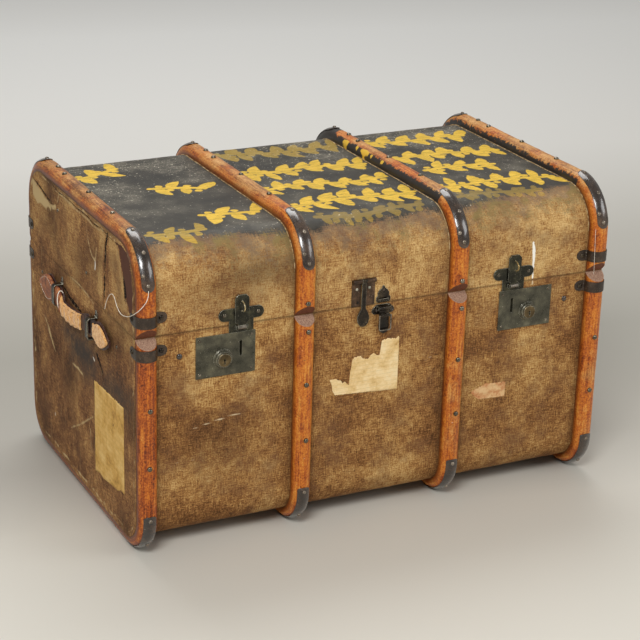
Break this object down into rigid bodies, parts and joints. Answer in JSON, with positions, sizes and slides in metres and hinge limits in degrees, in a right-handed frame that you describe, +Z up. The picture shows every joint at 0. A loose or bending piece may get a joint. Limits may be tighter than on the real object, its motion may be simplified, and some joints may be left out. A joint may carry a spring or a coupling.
{
  "type": "travel trunk",
  "caption": "Canvas-covered travel trunk with bentwood slats, iron corner caps, hasp locks, a draw clasp and leather end handles; its lid swings open on rear hinges.",
  "frame": {"origin": "under the middle of the trunk, on the floor that the bottom slats' iron caps stand on", "axes": "+X along the trunk's length, to the right as seen from the front; the front with the locks faces -Y; +Z up"},
  "size_m": [0.9034, 0.56, 0.5471],
  "materials": {
    "canvas_board": "worn painted canvas glued over thin board",
    "plain_wood": "bare wood",
    "bentwood": "old orange-brown varnish",
    "japanned_iron": "glossy black japanning, worn",
    "lock_steel": "blackened and worn",
    "lock_face": "worn, with a brassy tint",
    "rusty_iron": "rusty",
    "handle_leather": "dry, torn and scuffed"
  },
  "bodies": {
    "body": {"body_shell": "canvas_board", "body_end_left": "canvas_board", "body_end_right": "canvas_board", "body_dust_lip": "plain_wood", "body_slat_left_end": "bentwood", "body_slat_left": "bentwood", "body_slat_right": "bentwood", "body_slat_right_end": "bentwood", "body_cap_front_left_end": "japanned_iron", "body_cap_front_left": "japanned_iron", "body_cap_front_right": "japanned_iron", "body_cap_front_right_end": "japanned_iron", "body_strap_front_left": "japanned_iron", "body_strap_front_right": "japanned_iron", "body_strap_back_left": "japanned_iron", "body_strap_back_right": "japanned_iron", "body_hinge_left": "japanned_iron", "body_hinge_right": "japanned_iron", "lock_plate_left": "lock_steel", "lock_plate_right": "lock_steel", "clasp_bracket": "japanned_iron", "handle_loop_left_front": "lock_steel", "handle_loop_left_back": "lock_steel", "handle_loop_right_front": "lock_steel", "handle_loop_right_back": "lock_steel"},
    "lid": {"lid_shell": "canvas_board", "lid_end_left": "canvas_board", "lid_end_right": "canvas_board", "lid_slat_left_end": "bentwood", "lid_slat_left": "bentwood", "lid_slat_right": "bentwood", "lid_slat_right_end": "bentwood", "lid_cap_front_left_end": "japanned_iron", "lid_cap_front_left": "japanned_iron", "lid_cap_front_right": "japanned_iron", "lid_cap_front_right_end": "japanned_iron", "lid_cap_back_left_end": "japanned_iron", "lid_cap_back_left": "japanned_iron", "lid_cap_back_right": "japanned_iron", "lid_cap_back_right_end": "japanned_iron", "lid_strap_front_left": "japanned_iron", "lid_strap_front_right": "japanned_iron", "lid_strap_back_left": "japanned_iron", "lid_strap_back_right": "japanned_iron", "lid_hinge_left": "japanned_iron", "lid_hinge_right": "japanned_iron", "hasp_base_left": "lock_steel", "hasp_base_right": "lock_steel", "tongue_bracket": "rusty_iron", "clasp_catch": "japanned_iron"},
    "hasp_flap_left": {"hasp_flap_left": "lock_steel"},
    "hasp_flap_right": {"hasp_flap_right": "lock_steel"},
    "hanging_tongue": {"hanging_tongue": "japanned_iron"},
    "clasp_lever": {"clasp_lever": "japanned_iron"},
    "clasp_bail": {"clasp_bail": "lock_steel"},
    "key_drum_left": {"key_drum_left": "lock_face"},
    "key_drum_right": {"key_drum_right": "lock_face"},
    "handle_grip_left": {"handle_grip_left": "handle_leather"},
    "handle_grip_right": {"handle_grip_right": "handle_leather"}
  },
  "joints": [
    {"name": "lid_hinge", "type": "hinge", "parent": "body", "child": "lid", "pos_m": [0, 0.2631, 0.3835], "axis": [-1, 0, 0], "range_deg": [0, 93]},
    {"name": "hasp_left_hinge", "type": "hinge", "parent": "lid", "child": "hasp_flap_left", "pos_m": [-0.25225, -0.2629, 0.3797], "axis": [1, 0, 0], "range_deg": [0, 180]},
    {"name": "hasp_right_hinge", "type": "hinge", "parent": "lid", "child": "hasp_flap_right", "pos_m": [0.25225, -0.2629, 0.3797], "axis": [1, 0, 0], "range_deg": [0, 180]},
    {"name": "tongue_hinge", "type": "hinge", "parent": "lid", "child": "hanging_tongue", "pos_m": [-0.0345, -0.2626, 0.4275], "axis": [-1, 0, 0], "range_deg": [0, 170]},
    {"name": "clasp_lever_hinge", "type": "hinge", "parent": "body", "child": "clasp_lever", "pos_m": [0.003, -0.265, 0.376], "axis": [-1, 0, 0], "range_deg": [0, 60]},
    {"name": "clasp_bail_hinge", "type": "hinge", "parent": "clasp_lever", "child": "clasp_bail", "pos_m": [0.003, -0.27, 0.3645], "axis": [-1, 0, 0], "range_deg": [0, 150]},
    {"name": "key_left_turn", "type": "hinge", "parent": "body", "child": "key_drum_left", "pos_m": [-0.28375, -0.2585, 0.3295], "axis": [0, 1, 0], "range_deg": [0, 90]},
    {"name": "key_right_turn", "type": "hinge", "parent": "body", "child": "key_drum_right", "pos_m": [0.28375, -0.2585, 0.3295], "axis": [0, 1, 0], "range_deg": [0, 90]},
    {"name": "handle_left_slide", "type": "slide", "parent": "body", "child": "handle_grip_left", "axis": [0, 1, 0], "range_m": [-0.0025, 0.0025]},
    {"name": "handle_right_slide", "type": "slide", "parent": "body", "child": "handle_grip_right", "axis": [0, 1, 0], "range_m": [-0.0025, 0.0025]}
  ]
}
